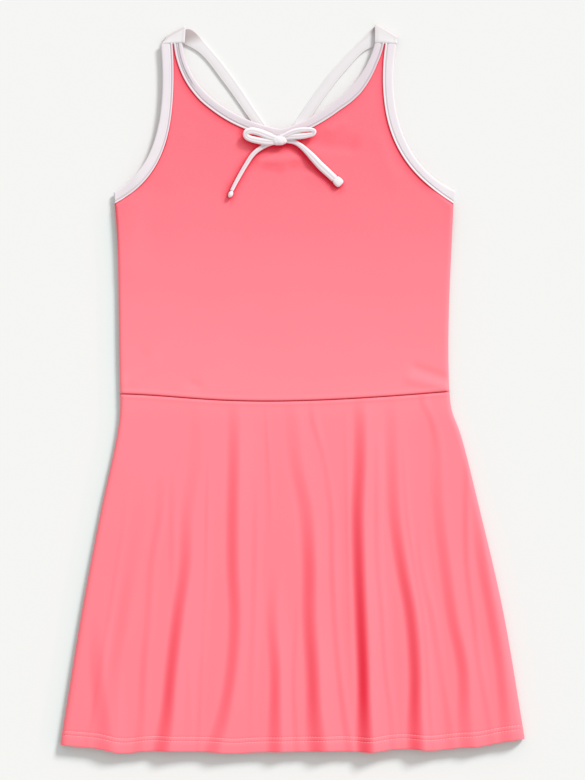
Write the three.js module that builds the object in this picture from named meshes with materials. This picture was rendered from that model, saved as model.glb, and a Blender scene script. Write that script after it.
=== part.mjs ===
// A sleeveless athletic dress in stretch knit, laid flat on its back with the front up.
// Millimetres. +Y runs from the hem to the shoulders, +X to the right of the front, +Z up.
// The surface that the dress lies on is z = 0.

import * as THREE from 'three';
import { mergeVertices } from 'three/addons/utils/BufferGeometryUtils.js';

// Cloth and seams
const KNIT = 1.2;               // wall of the coral panels
const BAND = 1.4;               // folded white binding
const STRAP = 1.3;              // folded white strap
const SEAM_GAP = 0.3;
const BAND_LIFT = 0.3;          // a binding stands this much above the panel it edges
const NECK_BAND_WIDTH = 9.2;
const BACK_BAND_WIDTH = 10;

// Heights of the front's outer face above the surface
const SIDE_SEAM = KNIT + SEAM_GAP;      // lower edge of the front at the side seams
const BODICE_CROWN = 6.2;
const SHOULDER_DROP = 1.2;              // the front lies lower at the shoulders than at the chest
const UNDERARM_BAND = SIDE_SEAM + BAND; // top of the armhole binding at its lower end
const HEM_CROWN = 9.5;                  // the hem's mean level, before its folds
const BODICE_ROUND = 9;                 // width of the rounded side
const HEM_ROUND = 14;
const ARMHOLE_RISE = 34;                // length over which the armhole edge lifts off the back

// Widths of the front, which place the rounded sides
const NECK_WIDTH = 300;
const WAIST_WIDTH = 318;
const HEM_WIDTH = 449;

// How finely each edge is divided
const STEPS = { waist: 24, side: 8, skirtSide: 12, top: 16, hem: 60, armhole: 30, neck: 48, back: 20 };

// Outlines as cubic curves: from, the two pulls, and to
const OUTLINES = {
  waist: { from: [-166.8, -5.3], pulls: [[-88.1, -7.0], [-62.5, -21.6]], to: [151.8, -2.9] },
  hem: { from: [-224.8, -344.7], pulls: [[-103, -355.8], [100.6, -352.5]], to: [224.8, -338.9] },
  sideLeft: { from: [-166.8, -5.3], pulls: [[-169.1, 58.8], [-166.8, 123]], to: [-172.1, 178.9] },
  sideRight: { from: [151.8, -2.9], pulls: [[148.8, 60.1], [153.8, 122.7]], to: [155.7, 178.9] },
  armholeLeft: { from: [-172.1, 178.9], pulls: [[-121.2, 204.3], [-111.5, 253.7]], to: [-115.7, 334.1] },
  armholeRight: { from: [155.7, 178.9], pulls: [[119.4, 202], [75.7, 234.6]], to: [89, 334.1] },
  neckLeft: { from: [-115.7, 334.1], pulls: [[-112.4, 282.2], [-62.7, 250.5]], to: [-11.1, 240.8] },
  neckRight: { from: [-11.1, 240.8], pulls: [[10.6, 245.1], [76.5, 275]], to: [89, 334.1] },
  bandLeft: { from: [-172.6, 189.9], pulls: [[-141.8, 206.8], [-119.2, 243.8]], to: [-127.4, 334.1] },
  bandRight: { from: [157.8, 191], pulls: [[98.3, 217.3], [91.6, 287]], to: [100.6, 334.1] },
  backTop: { from: [-172.1, 178.9], pulls: [[-90, 186.5], [70, 188.5]], to: [155.7, 178.9] },
};

// Side seams of the skirt, a row for each height
const SKIRT_SIDES = [
  { left: [-166.8, -5.3], right: [151.8, -2.9] },
  { left: [-166.8, -21], right: [154.2, -21] },
  { left: [-169.7, -45], right: [162.9, -45] },
  { left: [-185.2, -117.5], right: [181.3, -117.5] },
  { left: [-203.6, -214.2], right: [203.6, -214.2] },
  { left: [-224.8, -344.7], right: [224.8, -338.9] },
];

// Folds of the front skirt, from left to right. At each height of FOLD_ROWS a fold is a step up to the
// right of its place, by its rise, and the cloth falls away again over its reach.
const FOLD_ROWS = [-14, -30, -70, -120, -170, -220, -270, -320, -350];
const FOLD_LEAN = 0.2;          // share of the reach by which the fall lies to the right of the step
const FOLDS = [
  {
    at: [-189, -189, -189, -189, -189, -189, -189, -185, -183],
    rise: [0, 0, 0, 0, 0, 0.6, 2.8, 3.4, 3.2], width: 18, reach: 40,
  },
  {
    at: [-146, -146, -146, -148, -156, -164, -172, -176, -178],
    rise: [0, 0, 0, 0.5, 1.2, 2, 1.8, 1.2, 0.8], width: 17, reach: 34,
  },
  {
    at: [-94, -94, -94, -102, -104, -111, -117, -122, -127],
    rise: [0.4, 0.9, 1.2, 2.5, 4.1, 5.4, 6.4, 6.6, 6.2], width: 15, reach: 54,
  },
  {
    at: [-57, -57, -57, -58, -58, -56, -59, -68, -78],
    rise: [1.2, 2.6, 3.8, 4.5, 5, 4.4, 4.4, 4.4, 4.4], width: 15, reach: 46,
  },
  {
    at: [-18, -18, -18, -18, -18, -20, -17, -17, -17],
    rise: [0, 0, 0, 0, 0.3, 2.2, 4.3, 5.4, 5.6], width: 14, reach: 30,
  },
  {
    at: [-3, -1, 3, 13, 16, 16, 19, 21, 24],
    rise: [0.6, 1.3, 2.6, 4.2, 5.6, 5.8, 7, 7.2, 6.6], width: 16, reach: 48,
  },
  {
    at: [64, 65, 65, 63, 64, 66, 68, 69, 70],
    rise: [1.6, 3.3, 5.2, 6.8, 8.2, 9.2, 10, 9.8, 8.8], width: 15, reach: 48,
  },
  {
    at: [94, 95, 96, 98, 105, 114, 118, 118, 119],
    rise: [0.6, 1.4, 2.8, 3.6, 5.4, 6.4, 7.2, 7.8, 7.6], width: 15, reach: 44,
  },
  {
    at: [138, 138, 138, 141, 147, 154, 164, 166, 169],
    rise: [0.4, 0.8, 1.4, 2.8, 3.6, 3.8, 4.4, 3.6, 3.2], width: 15, reach: 36,
  },
  {
    at: [176, 176, 176, 177, 183, 192, 200, 205, 207],
    rise: [0, 0, 0, 0.6, 2.6, 3.1, 2.9, 2.7, 2.2], width: 13, reach: 26,
  },
];
// The hem swings out where a fold reaches it, a row for each place across
const HEM_SWINGS = [
  { x: -165, drop: 3.9, width: 18 },
  { x: -56, drop: 1.3, width: 16 },
  { x: 75, drop: 2.3, width: 18 },
  { x: 140, drop: 3.6, width: 24 },
  { x: 180, drop: 2.8, width: 20 },
];

// Straps, from the seam on the shoulder over the fold and down the back, a row for each place.
// inner is the edge nearer the neck at the shoulder.
const STRAPS = {
  left: {
    seam: { inner: [-104.9, 335.2], outer: [-127.2, 334.6] },
    fold: { inner: [-104.4, 349.6], outer: [-123.6, 339.4] },
    back: [
      { inner: [-98.4, 347.6], outer: [-117.5, 337.4] },
      { inner: [-77.5, 326.5], outer: [-91.6, 326] },
      { inner: [-57.8, 301.4], outer: [-67.7, 297.5] },
      { inner: [-33.4, 265.5], outer: [-43.9, 264.1] },
      { inner: [-9.5, 231], outer: [-21.5, 231] },
      { inner: [14.5, 196.1], outer: [-0.5, 196.1] },
    ],
    crossing: 0,
  },
  right: {
    seam: { inner: [79.8, 336.6], outer: [101.2, 334.6] },
    fold: { inner: [80.7, 352], outer: [101.6, 339.4] },
    back: [
      { inner: [74.5, 345.8], outer: [95.5, 334.6] },
      { inner: [61, 332], outer: [72.5, 328.4] },
      { inner: [38, 307.5], outer: [51.6, 308] },
      { inner: [13, 273.5], outer: [26.5, 275.5] },
      { inner: [-13.5, 233.5], outer: [0.5, 233.5] },
      { inner: [-41.5, 196.1], outer: [-27, 196.1] },
    ],
    crossing: STRAP + SEAM_GAP,   // this strap passes over the other behind the neckline
  },
};
const STRAP_TURN = 1.9;         // radius of the fold over the shoulder, at mid thickness
const CROSSING_Y = 228;
const CROSSING_FLAT = 21;
const CROSSING_FADE = 14;

// Bow at the neckline
const CORD = 4.3;
const KNOT = { at: [-13, 239.8, 10.7], half: [6.6, 4.6, 3.9] };
const LOOP_THICK = 3.6;
const LOOP_ROOT = 0.55;         // width of a loop at the knot, as a share of its greatest width
const LOOP_SWELL = { along: 0.45, out: 1.05 };
const SLIT_SHIFT = 1;           // the slit lies this much nearer to the tip
const LOOPS = {
  left: { root: [-20, 239.3], tip: [-47.5, 247.4], width: 12.8, slit: [8, 2.4], z: 11.25 },
  right: { root: [-5.9, 240.4], tip: [23.3, 246.6], width: 10.2, slit: [11, 2.2], z: 11.25 },
};
const TAILS = {
  left: [
    [-20.4, 237.5, 8.95], [-24.6, 235.5, 8.95], [-33.3, 230.2, 8.95], [-38.9, 224.5, 8.95],
    [-43.9, 216.8, 8.95], [-48.8, 208.4, 8.95], [-53.7, 199.8, 9.2], [-57.4, 193.1, 9.6],
    [-58.2, 191.6, 9.7],
  ],
  right: [
    [-5.7, 239.4, 8.95], [1.5, 237.3, 8.95], [6.8, 233.9, 9.6], [12.6, 229.4, 10.8],
    [18.9, 223.8, 11.3], [26.5, 216.8, 10.8], [34.1, 209.2, 9.6], [38.2, 205.3, 9.05],
    [40.1, 203.5, 8.95],
  ],
};
const ENDS = {
  left: { at: [-60, 188, 9.9], half: [2.6, 3.6, 2.6], turn: -0.46 },
  right: { at: [43.8, 199.9, 9.15], half: [4.3, 4.9, 2.6], turn: 0.8 },
};

const coral = new THREE.MeshStandardMaterial({ color: 0xff828f, roughness: 0.78, metalness: 0 });
const white = new THREE.MeshStandardMaterial({ color: 0xf6f1f3, roughness: 0.82, metalness: 0 });

const mix = (a, b, t) => a + (b - a) * t;
const mixPoint = (p, q, t) => p.map((value, i) => mix(value, q[i], t));
const smooth = (t) => {
  const s = THREE.MathUtils.clamp(t, 0, 1);
  return s * s * (3 - 2 * s);
};

// A cubic outline as a function of 0 to 1
function outline(name) {
  const { from, pulls, to } = OUTLINES[name];
  const curve = new THREE.CubicBezierCurve(...[from, ...pulls, to].map((p) => new THREE.Vector2(...p)));
  return (t) => curve.getPointAt(t).toArray();
}

// A smooth curve through listed points, in equal steps of its length
function through(points) {
  const curve = new THREE.CatmullRomCurve3(points.map(([x, y]) => new THREE.Vector3(x, y, 0)));
  return (t) => curve.getPointAt(t).toArray().slice(0, 2);
}

// Two outlines end to end as one function, the first taking the share given
function chained(first, second, share) {
  return (t) => (t <= share ? first(t / share) : second((t - share) / (1 - share)));
}

// Patch that meets four edges: the blend of each pair of edges, less the blend of the corners
function patch(low, high, left, right) {
  const corners = [low(0), low(1), high(0), high(1)];
  return (u, v) => {
    const along = mixPoint(low(u), high(u), v);
    const across = mixPoint(left(v), right(v), u);
    const square = mixPoint(mixPoint(corners[0], corners[1], u), mixPoint(corners[2], corners[3], u), v);
    return [0, 1].map((i) => along[i] + across[i] - square[i]);
  };
}

// Closed wall from two grids of points with the same rows and columns, outer above inner
function wallSolid(outer, inner) {
  const rows = outer.length;
  const columns = outer[0].length;
  const points = [...outer, ...inner].flat(2);
  const at = (layer, r, c) => (layer * rows + r) * columns + c;
  const faces = [];
  const quad = (a, b, c, d) => faces.push(a, b, c, a, c, d);
  for (let r = 0; r + 1 < rows; r += 1) {
    for (let c = 0; c + 1 < columns; c += 1) {
      quad(at(0, r, c), at(0, r, c + 1), at(0, r + 1, c + 1), at(0, r + 1, c));
      quad(at(1, r, c), at(1, r + 1, c), at(1, r + 1, c + 1), at(1, r, c + 1));
    }
    quad(at(0, r, 0), at(0, r + 1, 0), at(1, r + 1, 0), at(1, r, 0));
    const last = columns - 1;
    quad(at(0, r + 1, last), at(0, r, last), at(1, r, last), at(1, r + 1, last));
  }
  for (let c = 0; c + 1 < columns; c += 1) {
    quad(at(0, 0, c + 1), at(0, 0, c), at(1, 0, c), at(1, 0, c + 1));
    quad(at(0, rows - 1, c), at(0, rows - 1, c + 1), at(1, rows - 1, c + 1), at(1, rows - 1, c));
  }
  const geometry = new THREE.BufferGeometry();
  geometry.setAttribute('position', new THREE.Float32BufferAttribute(points, 3));
  geometry.setIndex(faces);
  return mergeVertices(geometry);
}

function piece(name, geometry, material) {
  const mesh = new THREE.Mesh(geometry, material);
  mesh.name = name;
  return mesh;
}

// Front panel over a flat back. place gives x and y for u across and v up, crown the outer height,
// edge the height of the open edge and how far it is a closed, rounded side seam (1) or a free edge (0).
const ROUND_STEPS = 4;
function frontPanel({ place, crown, edge, round, width, columns, rows }) {
  const outer = [];
  const inner = [];
  for (const v of rows) {
    const across = width(v);
    const radius = round(v);
    const { height, closed } = edge(v);
    const outerRow = [];
    const innerRow = [];
    for (let c = 0; c <= columns; c += 1) {
      const fromSide = Math.min(c, columns - c);
      const angle = (Math.min(fromSide, ROUND_STEPS) / ROUND_STEPS) * (Math.PI / 2);
      const inset = radius * (1 - Math.cos(angle));
      const reach = (fromSide - ROUND_STEPS) / (columns / 2 - ROUND_STEPS);
      const outerIn = fromSide <= ROUND_STEPS ? inset : mix(radius, across / 2, reach);
      const innerIn = outerIn + KNIT * closed * Math.cos(angle);
      const flip = (t) => (c * 2 <= columns ? t : 1 - t);
      const u = flip(outerIn / across);
      const [x, y] = place(u, v);
      const top = crown(x, y, u, v);
      const z = height + (top - height) * Math.sin(angle);
      outerRow.push([x, y, z]);
      const under = z - KNIT * mix(1, Math.sin(angle), closed);
      innerRow.push([...place(flip(innerIn / across), v), under]);
    }
    outer.push(outerRow);
    inner.push(innerRow);
  }
  return wallSolid(outer, inner);
}

const steps = (from, to, count) => Array.from({ length: count + 1 }, (_, i) => mix(from, to, i / count));

// Front bodice
const UNDERARM = 0.51;          // share of the bodice's side edge that is side seam
const sideOf = (side) => chained(outline(`side${side}`), outline(`armhole${side}`), UNDERARM);
const leftEdge = sideOf('Left');
const rightEdge = sideOf('Right');
const NECK_SHARE = 0.5;         // share of the neckline that is its left half
const neckline = chained(outline('neckLeft'), outline('neckRight'), NECK_SHARE);
const waist = outline('waist');
const bodicePlace = patch(waist, neckline, leftEdge, rightEdge);
const ARMHOLE_LENGTH = 178;

const bodiceCrown = (u, v) => {
  const toShoulder = smooth((v - UNDERARM) / (1 - UNDERARM));
  return BODICE_CROWN - SHOULDER_DROP * (2 * u - 1) ** 2 * toShoulder;
};
const closedAt = (v) => 1 - smooth(((v - UNDERARM) / (1 - UNDERARM)) * (ARMHOLE_LENGTH / ARMHOLE_RISE));
const bodiceEdge = (v) => {
  const closed = closedAt(v);
  return { closed, height: mix(bodiceCrown(0, v), SIDE_SEAM, closed) };
};
const WAIST_LIFT = SEAM_GAP / 2;
const liftedBodice = (u, v) => {
  const [x, y] = bodicePlace(u, v);
  return [x, y + WAIST_LIFT * (1 - v)];
};

function frontBodice() {
  return piece('front_bodice', frontPanel({
    place: liftedBodice,
    crown: (x, y, u, v) => bodiceCrown(u, v),
    edge: bodiceEdge,
    round: () => BODICE_ROUND,
    width: (v) => mix(WAIST_WIDTH, NECK_WIDTH, v),
    columns: 28,
    rows: [...steps(0, UNDERARM, 8), ...steps(UNDERARM, 1, 14).slice(1)],
  }), coral);
}

// Front skirt
const skirtLeft = through(SKIRT_SIDES.map((row) => row.left));
const skirtRight = through(SKIRT_SIDES.map((row) => row.right));
const hemLine = outline('hem');
const hem = (t) => {
  const [x, y] = hemLine(t);
  const swing = (row) => row.drop * Math.exp(-(((x - row.x) / row.width) ** 2));
  const drop = HEM_SWINGS.reduce((sum, row) => sum + swing(row), 0);
  return [x, y - drop];
};
const skirtPlace = patch(waist, hem, skirtLeft, skirtRight);

// Value at height y from a list that has one for each of FOLD_ROWS
function onRows(values, y) {
  const next = FOLD_ROWS.findIndex((row) => row <= y);
  if (next < 0) return values[values.length - 1];
  if (next === 0) return values[0];
  const share = (y - FOLD_ROWS[next - 1]) / (FOLD_ROWS[next] - FOLD_ROWS[next - 1]);
  return mix(values[next - 1], values[next], share);
}

function foldHeight(x, y) {
  return FOLDS.reduce((sum, { at, rise, width, reach }) => {
    const off = x - onRows(at, y);
    const step = smooth(off / width + 0.5);
    const fall = smooth(off / reach - FOLD_LEAN + 0.5);
    return sum + onRows(rise, y) * (step - fall);
  }, 0);
}

function frontSkirt() {
  return piece('front_skirt', frontPanel({
    place: (u, v) => {
      const [x, y] = skirtPlace(u, 1 - v);
      return [x, y - WAIST_LIFT * v];
    },
    crown: (x, y, u, v) => mix(HEM_CROWN, BODICE_CROWN, v) + foldHeight(x, y),
    edge: () => ({ closed: 1, height: SIDE_SEAM }),
    round: (v) => mix(HEM_ROUND, BODICE_ROUND, v),
    width: (v) => mix(HEM_WIDTH, WAIST_WIDTH, v),
    columns: 84,
    rows: steps(0, 1, 17),
  }), coral);
}

// Flat plate from a closed outline of points
function plate(points, thickness) {
  const shape = new THREE.Shape(points.map(([x, y]) => new THREE.Vector2(x, y)));
  const geometry = new THREE.ExtrudeGeometry(shape, { depth: thickness, bevelEnabled: false });
  geometry.deleteAttribute('normal');
  geometry.deleteAttribute('uv');
  return mergeVertices(geometry);
}

const along = (curve, count, from = 0, to = 1) => steps(from, to, count).map(curve);

function backPanels() {
  const lift = ([x, y]) => [x, y + WAIST_LIFT];
  const drop = ([x, y]) => [x, y - WAIST_LIFT];
  const bodice = [
    ...along(waist, STEPS.waist).map(lift),
    ...along(outline('sideRight'), STEPS.side).slice(1),
    ...along(outline('backTop'), STEPS.top, 1, 0).slice(1),
    ...along(outline('sideLeft'), STEPS.side, 1, 0).slice(1, -1),
  ];
  const skirt = [
    ...along(waist, STEPS.waist, 1, 0).map(drop),
    ...along(skirtLeft, STEPS.skirtSide).slice(1),
    ...along(hem, STEPS.hem).slice(1),
    ...along(skirtRight, STEPS.skirtSide, 1, 0).slice(1, -1),
  ];
  return [
    piece('back_bodice', plate(bodice, KNIT), coral),
    piece('back_skirt', plate(skirt, KNIT), coral),
  ];
}

// Strip between an inner and an outer edge, both functions of 0 to 1 that give x, y and the top's z
function strip(innerEdge, outerEdge, count, thickness) {
  const share = [0, 0.5, 1];
  const rows = steps(0, 1, count).map((t) => share.map((s) => mixPoint(outerEdge(t), innerEdge(t), s)));
  const under = rows.map((row) => row.map(([x, y, z]) => [x, y, z - thickness]));
  return wallSolid(rows, under);
}

// Edge moved sideways by a distance, positive to the left of the way it runs
function sideways(curve, distance) {
  const reach = 0.002;
  return (t) => {
    const [ax, ay] = curve(Math.max(t - reach, 0));
    const [bx, by] = curve(Math.min(t + reach, 1));
    const length = Math.hypot(bx - ax, by - ay);
    const [x, y] = curve(t);
    return [x - (distance * (by - ay)) / length, y + (distance * (bx - ax)) / length];
  };
}

function bindings() {
  const armhole = (side, sign) => {
    const seam = sideways(outline(`armhole${side}`), sign * SEAM_GAP);
    const free = outline(`band${side}`);
    const top = (t) => {
      const v = mix(UNDERARM, 1, t);
      return mix(bodiceCrown(0, v) + BAND_LIFT, UNDERARM_BAND, closedAt(v));
    };
    const inner = (t) => [...seam(t), top(t)];
    const outer = (t) => [...free(t), top(t)];
    const edges = sign > 0 ? [inner, outer] : [outer, inner];
    return strip(...edges, STEPS.armhole, BAND);
  };
  const neckTop = (t) => bodiceCrown(t, 1) + BAND_LIFT;
  const neckInner = (t) => [...sideways(neckline, SEAM_GAP)(t), neckTop(t)];
  const neckOuter = (t) => [...sideways(neckline, SEAM_GAP + NECK_BAND_WIDTH)(t), neckTop(t)];
  const backTop = outline('backTop');
  const backInner = (t) => [...sideways(backTop, SEAM_GAP)(t), KNIT];
  const backOuter = (t) => [...sideways(backTop, SEAM_GAP + BACK_BAND_WIDTH)(t), KNIT];
  return [
    piece('armhole_binding_left', armhole('Left', 1), white),
    piece('armhole_binding_right', armhole('Right', -1), white),
    piece('neck_binding', strip(neckInner, neckOuter, STEPS.neck, BAND), white),
    piece('back_binding', strip(backInner, backOuter, STEPS.back, KNIT), white),
  ];
}

// Strap as a folded band: up from the shoulder seam, round the fold, and flat down the back
const FRONT_STEPS = 3;
const TURN_STEPS = 6;
const BACK_STEPS = 22;
function strap(name, { seam, fold, back, crossing }) {
  const low = STRAP / 2;
  const high = low + 2 * STRAP_TURN;
  const turnIn = (edge) => {
    const [ax, ay] = fold.inner;
    const [bx, by] = fold.outer;
    const length = Math.hypot(bx - ax, by - ay);
    const side = Math.sign(bx - ax);
    const [nx, ny] = [(side * (by - ay)) / length, (-side * (bx - ax)) / length];
    return [fold[edge][0] + nx * STRAP_TURN, fold[edge][1] + ny * STRAP_TURN];
  };
  const profile = (edge) => {
    const start = turnIn(edge);
    const out = [fold[edge][0] - start[0], fold[edge][1] - start[1]];
    const rise = (t) => ({ at: [...mixPoint(seam[edge], start, t), high], up: [0, 0, 1] });
    const points = steps(0, 1, FRONT_STEPS).map(rise);
    for (const angle of steps(0, Math.PI, TURN_STEPS).slice(1)) {
      const push = Math.sin(angle);
      const z = low + STRAP_TURN * (1 + Math.cos(angle));
      points.push({
        at: [start[0] + out[0] * push, start[1] + out[1] * push, z],
        up: [(out[0] / STRAP_TURN) * push, (out[1] / STRAP_TURN) * push, Math.cos(angle)],
      });
    }
    const route = through([start, ...back.map((row) => row[edge])]);
    for (const t of steps(0, 1, BACK_STEPS).slice(1)) {
      const [x, y] = route(t);
      const near = 1 - smooth((Math.abs(y - CROSSING_Y) - CROSSING_FLAT) / CROSSING_FADE);
      points.push({ at: [x, y, low + crossing * near], up: [0, 0, -1] });
    }
    return points;
  };
  const edges = [profile('inner'), profile('outer')];
  const layer = (offset) => edges[0].map((_, i) => edges.map((edge) => {
    const { at, up } = edge[i];
    return at.map((value, k) => value + up[k] * offset);
  }));
  const mirrored = seam.outer[0] < seam.inner[0];
  const rows = [layer(STRAP / 2), layer(-STRAP / 2)].map((grid) => (mirrored
    ? grid.map((row) => [...row].reverse()) : grid));
  return piece(name, wallSolid(rows[0], rows[1]), white);
}

// Bow
const TUBE_SIDES = 10;
const TUBE_STEPS = 14;
const LOOP_SEGMENTS = 8;
const BALL_SEGMENTS = [14, 10];
function tube(points) {
  const section = new THREE.Shape(steps(0, 1, TUBE_SIDES).slice(0, -1).map((t) => {
    const angle = t * 2 * Math.PI;
    return new THREE.Vector2(Math.cos(angle) * CORD / 2, Math.sin(angle) * CORD / 2);
  }));
  const path = new THREE.CatmullRomCurve3(points.map((p) => new THREE.Vector3(...p)));
  return new THREE.ExtrudeGeometry(section, { steps: TUBE_STEPS, extrudePath: path, bevelEnabled: false });
}

// Teardrop plate with a slit, from its root at the knot to its round tip
function loopSolid({ root, tip, width, slit, z }) {
  const length = Math.hypot(tip[0] - root[0], tip[1] - root[1]);
  const half = width / 2;
  const shape = new THREE.Shape();
  const swell = [length * LOOP_SWELL.along, half * LOOP_SWELL.out];
  shape.moveTo(0, -half * LOOP_ROOT);
  shape.quadraticCurveTo(swell[0], -swell[1], length - half, -half);
  shape.absarc(length - half, 0, half, -Math.PI / 2, Math.PI / 2, false);
  shape.quadraticCurveTo(swell[0], swell[1], 0, half * LOOP_ROOT);
  shape.closePath();
  const hole = new THREE.Path();
  const slitX = length - half - slit[0] / 2 + SLIT_SHIFT;
  hole.absellipse(slitX, 0, slit[0] / 2, slit[1] / 2, 0, Math.PI * 2, true);
  shape.holes.push(hole);
  const settings = { depth: LOOP_THICK, bevelEnabled: false, curveSegments: LOOP_SEGMENTS };
  const geometry = new THREE.ExtrudeGeometry(shape, settings);
  geometry.rotateZ(Math.atan2(tip[1] - root[1], tip[0] - root[0]));
  geometry.translate(root[0], root[1], z);
  return geometry;
}

function ball(name, { at, half, turn = 0 }) {
  const geometry = new THREE.SphereGeometry(1, ...BALL_SEGMENTS);
  geometry.scale(...half);
  geometry.rotateZ(turn);
  geometry.translate(...at);
  return piece(name, geometry, white);
}

function bow() {
  const pieces = [ball('bow_knot', KNOT)];
  for (const side of ['left', 'right']) {
    pieces.push(piece(`bow_loop_${side}`, loopSolid(LOOPS[side]), white));
    pieces.push(piece(`bow_tail_${side}`, tube(TAILS[side]), white));
    pieces.push(ball(`bow_end_${side}`, ENDS[side]));
  }
  return pieces;
}

const dress = new THREE.Group();
dress.add(frontBodice(), frontSkirt(), ...backPanels(), ...bindings());
dress.add(strap('strap_left', STRAPS.left), strap('strap_right', STRAPS.right));
dress.add(...bow());

export default dress;
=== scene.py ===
"""Looks of a sleeveless athletic dress: coral stretch knit, white folded bindings, straps that cross behind,
and a small bow at the neckline. It lies flat on its back with the front up.

Sizes in the tables are millimetres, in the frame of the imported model: +X to the right of the front,
+Y from the hem to the shoulders, +Z up. Meshes are written in metres.
"""

import bpy
import numpy as np
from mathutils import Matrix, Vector


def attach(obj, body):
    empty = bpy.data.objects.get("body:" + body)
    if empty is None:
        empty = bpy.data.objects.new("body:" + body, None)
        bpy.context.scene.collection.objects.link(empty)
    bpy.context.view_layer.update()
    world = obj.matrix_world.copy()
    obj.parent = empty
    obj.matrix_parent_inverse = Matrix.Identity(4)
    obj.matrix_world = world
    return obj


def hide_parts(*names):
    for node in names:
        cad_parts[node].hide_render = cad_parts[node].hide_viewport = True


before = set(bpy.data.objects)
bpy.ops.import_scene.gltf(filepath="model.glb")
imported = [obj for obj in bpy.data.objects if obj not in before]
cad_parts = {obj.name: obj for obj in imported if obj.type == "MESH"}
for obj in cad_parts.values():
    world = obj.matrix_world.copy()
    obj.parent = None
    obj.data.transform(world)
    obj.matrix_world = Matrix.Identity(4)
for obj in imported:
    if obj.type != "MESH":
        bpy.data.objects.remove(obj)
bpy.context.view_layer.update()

MM = 0.001

# Camera: straight down on the middle of the dress, with the hem at the bottom of the picture.
VIEW_MIDDLE = (0.0, -1.45)
VIEW_HALF_HEIGHT = 377.1
VIEW_PLANE = 5.0            # height at which that half height is exact
LENS, SENSOR = 120.0, 36.0

camera_data = bpy.data.cameras.new("camera")
camera_data.lens, camera_data.sensor_width = LENS, SENSOR
camera_data.clip_start, camera_data.clip_end = 0.05, 50
camera = bpy.data.objects.new("camera", camera_data)
view_height = VIEW_PLANE + VIEW_HALF_HEIGHT * 2 * LENS / SENSOR
camera.location = (VIEW_MIDDLE[0] * MM, VIEW_MIDDLE[1] * MM, view_height * MM)
bpy.context.scene.collection.objects.link(camera)
bpy.context.scene.camera = camera
bpy.context.scene.view_settings.view_transform = "Standard"

# Cloth
KNIT = 0.9                  # wall of a coral panel
FOLDED = 0.45               # wall of the cloth that a binding is folded from
REST = 0.12                 # the knit's lowest face above the floor, room for the thread under it
WAIST_LIFT = 0.15           # each panel stops this far from the waist line

# Heights of the outer faces. The two edges are those of the side seams, where the back is drawn up.
BACK_EDGE = 2.4
FRONT_EDGE = 2.55
BODICE_CROWN = 6.2
SHOULDER_DROP = 1.2         # how much lower the neckline's two ends lie
HEM_CROWN = 8.6
UNDERARM_BAND = 3.8         # foot of a binding at the underarm

# Plan of the panels: radii of their rounded sides, widths, and the bodice's armhole
BODICE_ROUND = 4.5
HEM_ROUND = 7.0
BACK_ROUND = 5.0
NECK_WIDTH, WAIST_WIDTH, HEM_WIDTH = 300.0, 318.0, 449.0
UNDERARM = 0.51             # share of the bodice's height at which the armhole begins
ARMHOLE_RISE = 34 / 178     # share of the armhole over which its edge lifts off the back
NECK_BAND_WIDTH = 9.2
BACK_BAND_WIDTH = 10.0

# Outlines as cubic curves, each by its four control points
OUTLINES = {
    "waist": [(-166.8, -5.3), (-88.1, -7.0), (-62.5, -21.6), (151.8, -2.9)],
    "hem": [(-224.8, -344.7), (-103, -355.8), (100.6, -352.5), (224.8, -338.9)],
    "side_left": [(-166.8, -5.3), (-169.1, 58.8), (-166.8, 123), (-172.1, 178.9)],
    "side_right": [(151.8, -2.9), (148.8, 60.1), (153.8, 122.7), (155.7, 178.9)],
    "armhole_left": [(-172.1, 178.9), (-121.2, 204.3), (-111.5, 253.7), (-115.7, 334.1)],
    "armhole_right": [(155.7, 178.9), (119.4, 202), (75.7, 234.6), (89, 334.1)],
    "neck_left": [(-115.7, 334.1), (-112.4, 282.2), (-62.7, 250.5), (-11.1, 240.8)],
    "neck_right": [(-11.1, 240.8), (10.6, 245.1), (76.5, 275), (89, 334.1)],
    "band_left": [(-172.6, 189.9), (-141.8, 206.8), (-119.2, 243.8), (-127.4, 334.1)],
    "band_right": [(157.8, 191), (98.3, 217.3), (91.6, 287), (100.6, 334.1)],
    "back_top": [(-172.1, 178.9), (-90, 186.5), (70, 188.5), (155.7, 178.9)],
}
SKIRT_LEFT = [(-166.8, -5.3), (-166.8, -21), (-169.7, -45), (-185.2, -117.5), (-203.6, -214.2),
              (-224.8, -344.7)]
SKIRT_RIGHT = [(151.8, -2.9), (154.2, -21), (162.9, -45), (181.3, -117.5), (203.6, -214.2),
               (224.8, -338.9)]

# Where the hem swings out: place across, drop, half width
HEM_SWINGS = [(-165, 3.9, 18), (-56, 1.3, 16), (75, 2.3, 18), (140, 3.6, 24), (180, 2.8, 20)]

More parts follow.
